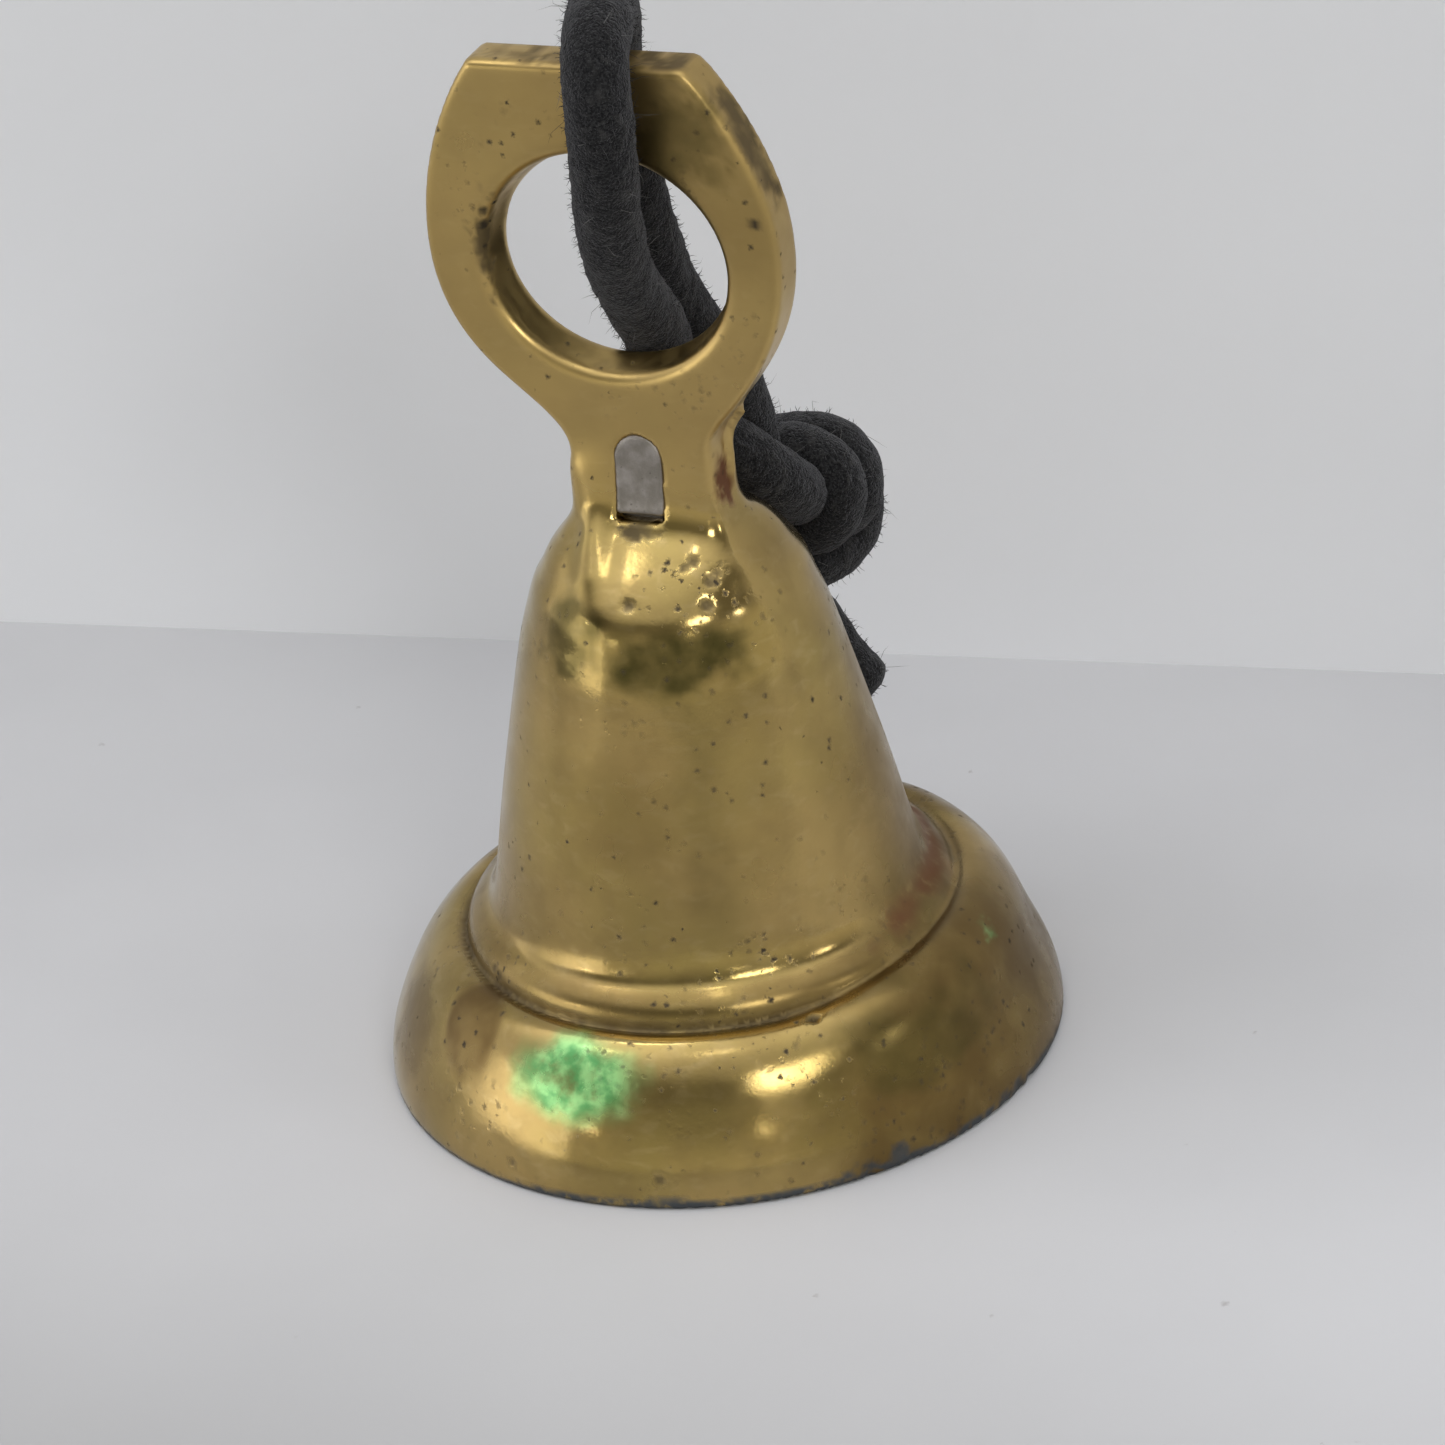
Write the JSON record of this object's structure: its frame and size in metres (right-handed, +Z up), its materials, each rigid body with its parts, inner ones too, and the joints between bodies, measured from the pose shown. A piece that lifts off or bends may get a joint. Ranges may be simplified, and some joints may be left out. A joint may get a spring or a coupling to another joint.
{
  "type": "small ship bell",
  "caption": "Small cast brass ship bell with a flat hanging eye, a flared skirt, a swinging clapper and a knotted black cord looped through the eye.",
  "frame": {"origin": "middle of the mouth, on the plane of the rim that the bell stands on", "axes": "+Z up the bell's axis to the hanging eye; the eye's flat lies in the XZ plane and its front, with the dressed end of the iron strap, faces -Y"},
  "size_m": [0.0664, 0.0664, 0.11],
  "materials": {
    "cast_brass": "worn polish, mottled golden and olive, with pits and a green verdigris patch",
    "grey_iron": "dressed flush, dull grey",
    "dull_steel": "dull, browned",
    "ball_brass": "dull brass with a worn band",
    "black_cord": "napped black cord with fine lint"
  },
  "bodies": {
    "bell": {"bell_casting": "cast_brass", "crown_strap": "grey_iron", "cord_loop": "black_cord", "cord_knot": "black_cord", "cord_tail_in_view": "black_cord", "cord_tail_behind": "black_cord"},
    "link": {"clapper_link": "dull_steel"},
    "clapper": {"clapper_shank": "dull_steel", "clapper_ball": "ball_brass"}
  },
  "joints": [
    {"name": "clapper_swing", "type": "hinge", "parent": "bell", "child": "link", "pos_m": [0, 0, 0.0455], "axis": [0, 1, 0], "range_deg": [-24, 24]},
    {"name": "clapper_sway", "type": "hinge", "parent": "link", "child": "clapper", "pos_m": [0, 0, 0.0371], "axis": [1, 0, 0], "range_deg": [-8, 8]}
  ]
}
